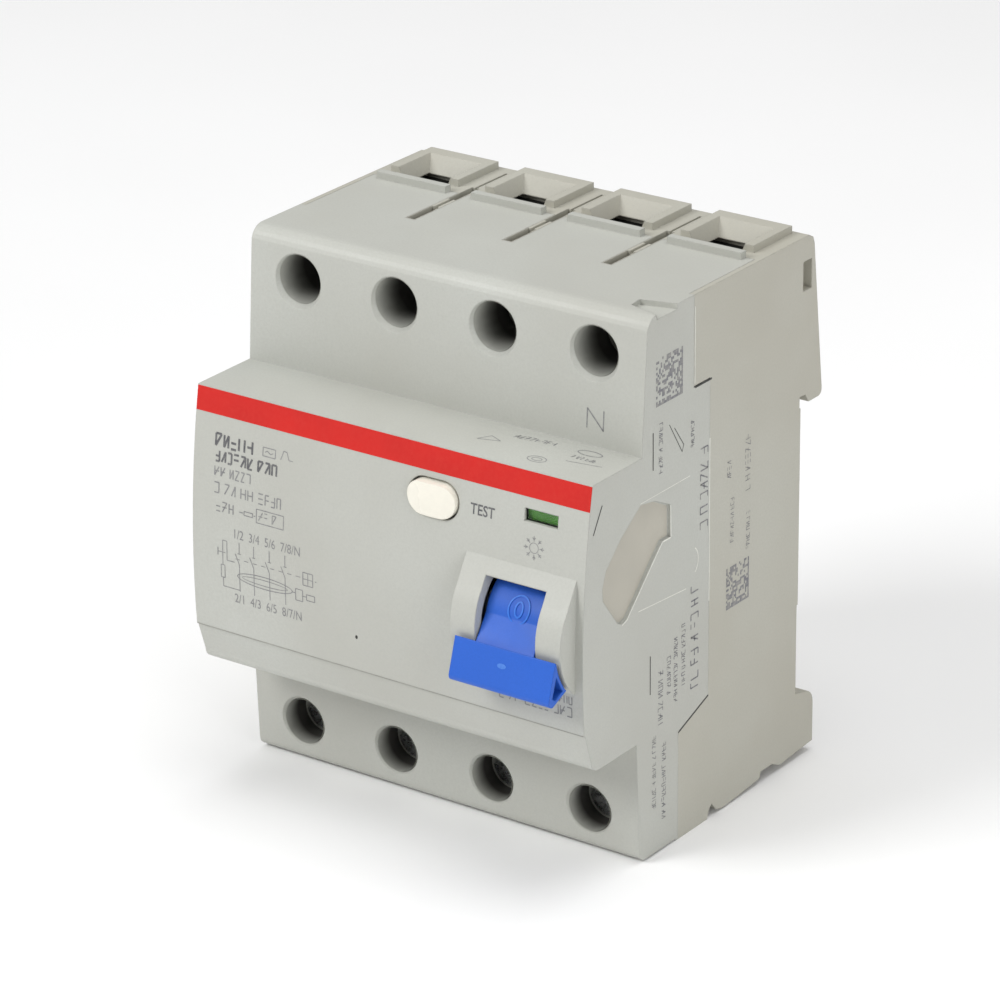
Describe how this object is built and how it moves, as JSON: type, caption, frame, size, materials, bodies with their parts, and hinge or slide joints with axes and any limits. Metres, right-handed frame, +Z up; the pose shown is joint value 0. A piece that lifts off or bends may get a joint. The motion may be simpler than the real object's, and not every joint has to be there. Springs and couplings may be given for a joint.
{
  "type": "residual current device",
  "caption": "Rail-mounted residual current device for four poles, with toggle, test button, position window and cage clamp terminals",
  "frame": {"origin": "centre of the face that rests on the rail, at the rail's centre line and the middle of the device", "axes": "+X across the poles, seen from the front to the right; +Y back into the rail; +Z up, from load to line terminals"},
  "size_m": [0.07, 0.0684, 0.0851],
  "materials": {
    "housing_grey": "fine-grained moulded polyamide",
    "cover_grey": "fine-grained moulded polyamide",
    "clear_window": "clear polycarbonate",
    "flag_green": "printed plastic",
    "toggle_blue": "satin moulded plastic",
    "bright_steel": "turned steel",
    "spring_steel": "drawn spring wire",
    "plated_steel": "zinc-plated sheet",
    "natural_plastic": "natural plastic",
    "enamelled_copper": "enamelled copper wire",
    "button_ivory": "satin moulded plastic",
    "contact_bronze": "rolled bronze strip",
    "resistor_blue": "lacquer",
    "dark_plastic": "moulded black plastic",
    "bare_copper": "rolled copper",
    "clip_black": "moulded black plastic",
    "cage_steel": "zinc-plated steel strip",
    "zinc_steel": "zinc-plated steel"
  },
  "bodies": {
    "housing": {"base_housing": "housing_grey", "front_cover": "cover_grey", "window_lens": "clear_window", "toggle_pin": "bright_steel", "toggle_spring": "spring_steel", "mechanism_frame": "plated_steel", "relay_yoke": "plated_steel", "relay_coil": "enamelled_copper", "test_button_spring": "spring_steel", "test_contact_blade": "contact_bronze", "test_resistor": "resistor_blue", "inner_frame": "dark_plastic", "line_bar_1": "bare_copper", "line_bar_2": "bare_copper", "line_bar_3": "bare_copper", "line_bar_4": "bare_copper", "load_bar_1": "bare_copper", "load_bar_2": "bare_copper", "load_bar_3": "bare_copper", "load_bar_4": "bare_copper", "toroid_core": "dark_plastic", "secondary_winding": "enamelled_copper", "primary_lead_1": "enamelled_copper", "primary_lead_2": "enamelled_copper", "primary_lead_3": "enamelled_copper", "primary_lead_4": "enamelled_copper", "clip_spring_left": "spring_steel", "clip_spring_right": "spring_steel"},
    "toggle": {"toggle_handle": "toggle_blue"},
    "flag": {"indicator_flag": "flag_green"},
    "contacts": {"contact_carrier": "dark_plastic", "contact_arm_1": "bare_copper", "contact_arm_2": "bare_copper", "contact_arm_3": "bare_copper", "contact_arm_4": "bare_copper", "contact_leaf_1": "contact_bronze", "contact_leaf_2": "contact_bronze", "contact_leaf_3": "contact_bronze", "contact_leaf_4": "contact_bronze"},
    "trip": {"trip_lever": "natural_plastic"},
    "plunger": {"relay_plunger": "bright_steel"},
    "button": {"test_button": "button_ivory"},
    "clip_left": {"rail_clip_left": "clip_black"},
    "clip_right": {"rail_clip_right": "clip_black"},
    "line_cage_1_body": {"line_cage_1": "cage_steel"},
    "line_screw_1_body": {"line_screw_1": "zinc_steel"},
    "line_cage_2_body": {"line_cage_2": "cage_steel"},
    "line_screw_2_body": {"line_screw_2": "zinc_steel"},
    "line_cage_3_body": {"line_cage_3": "cage_steel"},
    "line_screw_3_body": {"line_screw_3": "zinc_steel"},
    "line_cage_4_body": {"line_cage_4": "cage_steel"},
    "line_screw_4_body": {"line_screw_4": "zinc_steel"},
    "load_cage_1_body": {"load_cage_1": "cage_steel"},
    "load_screw_1_body": {"load_screw_1": "zinc_steel"},
    "load_cage_2_body": {"load_cage_2": "cage_steel"},
    "load_screw_2_body": {"load_screw_2": "zinc_steel"},
    "load_cage_3_body": {"load_cage_3": "cage_steel"},
    "load_screw_3_body": {"load_screw_3": "zinc_steel"},
    "load_cage_4_body": {"load_cage_4": "cage_steel"},
    "load_screw_4_body": {"load_screw_4": "zinc_steel"}
  },
  "joints": [
    {"name": "toggle_swing", "type": "hinge", "parent": "housing", "child": "toggle", "pos_m": [0.0241, -0.0503, -0.0017], "axis": [-1, 0, 0], "range_deg": [0, 56]},
    {"name": "flag_swing", "type": "hinge", "parent": "housing", "child": "flag", "pos_m": [0, -0.043, 0.0156], "axis": [-1, 0, 0], "range_deg": [0, 12.85]},
    {"name": "contact_swing", "type": "hinge", "parent": "housing", "child": "contacts", "pos_m": [0, -0.02, 0.006], "axis": [-1, 0, 0], "range_deg": [0, 20]},
    {"name": "trip_swing", "type": "hinge", "parent": "housing", "child": "trip", "pos_m": [0, -0.0304, -0.004], "axis": [-1, 0, 0], "range_deg": [0, 16], "stiffness_Nm_per_rad": 0.002, "springref_deg": -28.65},
    {"name": "plunger_slide", "type": "slide", "parent": "housing", "child": "plunger", "axis": [0, 0, 1], "range_m": [0, 0.00125]},
    {"name": "button_press", "type": "slide", "parent": "housing", "child": "button", "axis": [0, 1, 0], "range_m": [0, 0.0015], "stiffness_N_per_m": 400, "springref_m": -0.001, "deforming": ["test_button_spring"]},
    {"name": "clip_left_pull", "type": "slide", "parent": "housing", "child": "clip_left", "axis": [0, 0, -1], "range_m": [0, 0.0035], "stiffness_N_per_m": 1500, "springref_m": -0.002, "deforming": ["clip_spring_left"]},
    {"name": "clip_right_pull", "type": "slide", "parent": "housing", "child": "clip_right", "axis": [0, 0, -1], "range_m": [0, 0.0035], "stiffness_N_per_m": 1500, "springref_m": -0.002, "deforming": ["clip_spring_right"]},
    {"name": "line_screw_1_turn", "type": "hinge", "parent": "housing", "child": "line_screw_1_body", "pos_m": [-0.02625, -0.025, 0.0358], "axis": [0, 1, 0], "range_deg": [0, 2475]},
    {"name": "line_cage_1_lift", "type": "slide", "parent": "housing", "child": "line_cage_1_body", "axis": [0, -1, 0], "range_m": [0, 0.0055]},
    {"name": "line_screw_2_turn", "type": "hinge", "parent": "housing", "child": "line_screw_2_body", "pos_m": [-0.00875, -0.025, 0.0358], "axis": [0, 1, 0], "range_deg": [0, 2475]},
    {"name": "line_cage_2_lift", "type": "slide", "parent": "housing", "child": "line_cage_2_body", "axis": [0, -1, 0], "range_m": [0, 0.0055]},
    {"name": "line_screw_3_turn", "type": "hinge", "parent": "housing", "child": "line_screw_3_body", "pos_m": [0.00875, -0.025, 0.0358], "axis": [0, 1, 0], "range_deg": [0, 2475]},
    {"name": "line_cage_3_lift", "type": "slide", "parent": "housing", "child": "line_cage_3_body", "axis": [0, -1, 0], "range_m": [0, 0.0055]},
    {"name": "line_screw_4_turn", "type": "hinge", "parent": "housing", "child": "line_screw_4_body", "pos_m": [0.02625, -0.025, 0.0358], "axis": [0, 1, 0], "range_deg": [0, 2475]},
    {"name": "line_cage_4_lift", "type": "slide", "parent": "housing", "child": "line_cage_4_body", "axis": [0, -1, 0], "range_m": [0, 0.0055]},
    {"name": "load_screw_1_turn", "type": "hinge", "parent": "housing", "child": "load_screw_1_body", "pos_m": [-0.02625, -0.025, -0.0349], "axis": [0, 1, 0], "range_deg": [0, 2475]},
    {"name": "load_cage_1_lift", "type": "slide", "parent": "housing", "child": "load_cage_1_body", "axis": [0, -1, 0], "range_m": [0, 0.0055]},
    {"name": "load_screw_2_turn", "type": "hinge", "parent": "housing", "child": "load_screw_2_body", "pos_m": [-0.00875, -0.025, -0.0349], "axis": [0, 1, 0], "range_deg": [0, 2475]},
    {"name": "load_cage_2_lift", "type": "slide", "parent": "housing", "child": "load_cage_2_body", "axis": [0, -1, 0], "range_m": [0, 0.0055]},
    {"name": "load_screw_3_turn", "type": "hinge", "parent": "housing", "child": "load_screw_3_body", "pos_m": [0.00875, -0.025, -0.0349], "axis": [0, 1, 0], "range_deg": [0, 2475]},
    {"name": "load_cage_3_lift", "type": "slide", "parent": "housing", "child": "load_cage_3_body", "axis": [0, -1, 0], "range_m": [0, 0.0055]},
    {"name": "load_screw_4_turn", "type": "hinge", "parent": "housing", "child": "load_screw_4_body", "pos_m": [0.02625, -0.025, -0.0349], "axis": [0, 1, 0], "range_deg": [0, 2475]},
    {"name": "load_cage_4_lift", "type": "slide", "parent": "housing", "child": "load_cage_4_body", "axis": [0, -1, 0], "range_m": [0, 0.0055]}
  ],
  "couplings": [
    {"joint": "flag_swing", "follows": "toggle_swing", "ratio": 0.22857},
    {"joint": "contact_swing", "follows": "toggle_swing", "ratio": 0.35714},
    {"joint": "trip_swing", "follows": "plunger_slide", "rad_per_m": 208.33},
    {"joint": "line_screw_1_turn", "follows": "line_cage_1_lift", "rad_per_m": 7853},
    {"joint": "line_screw_2_turn", "follows": "line_cage_2_lift", "rad_per_m": 7853},
    {"joint": "line_screw_3_turn", "follows": "line_cage_3_lift", "rad_per_m": 7853},
    {"joint": "line_screw_4_turn", "follows": "line_cage_4_lift", "rad_per_m": 7853},
    {"joint": "load_screw_1_turn", "follows": "load_cage_1_lift", "rad_per_m": 7853},
    {"joint": "load_screw_2_turn", "follows": "load_cage_2_lift", "rad_per_m": 7853},
    {"joint": "load_screw_3_turn", "follows": "load_cage_3_lift", "rad_per_m": 7853},
    {"joint": "load_screw_4_turn", "follows": "load_cage_4_lift", "rad_per_m": 7853}
  ]
}
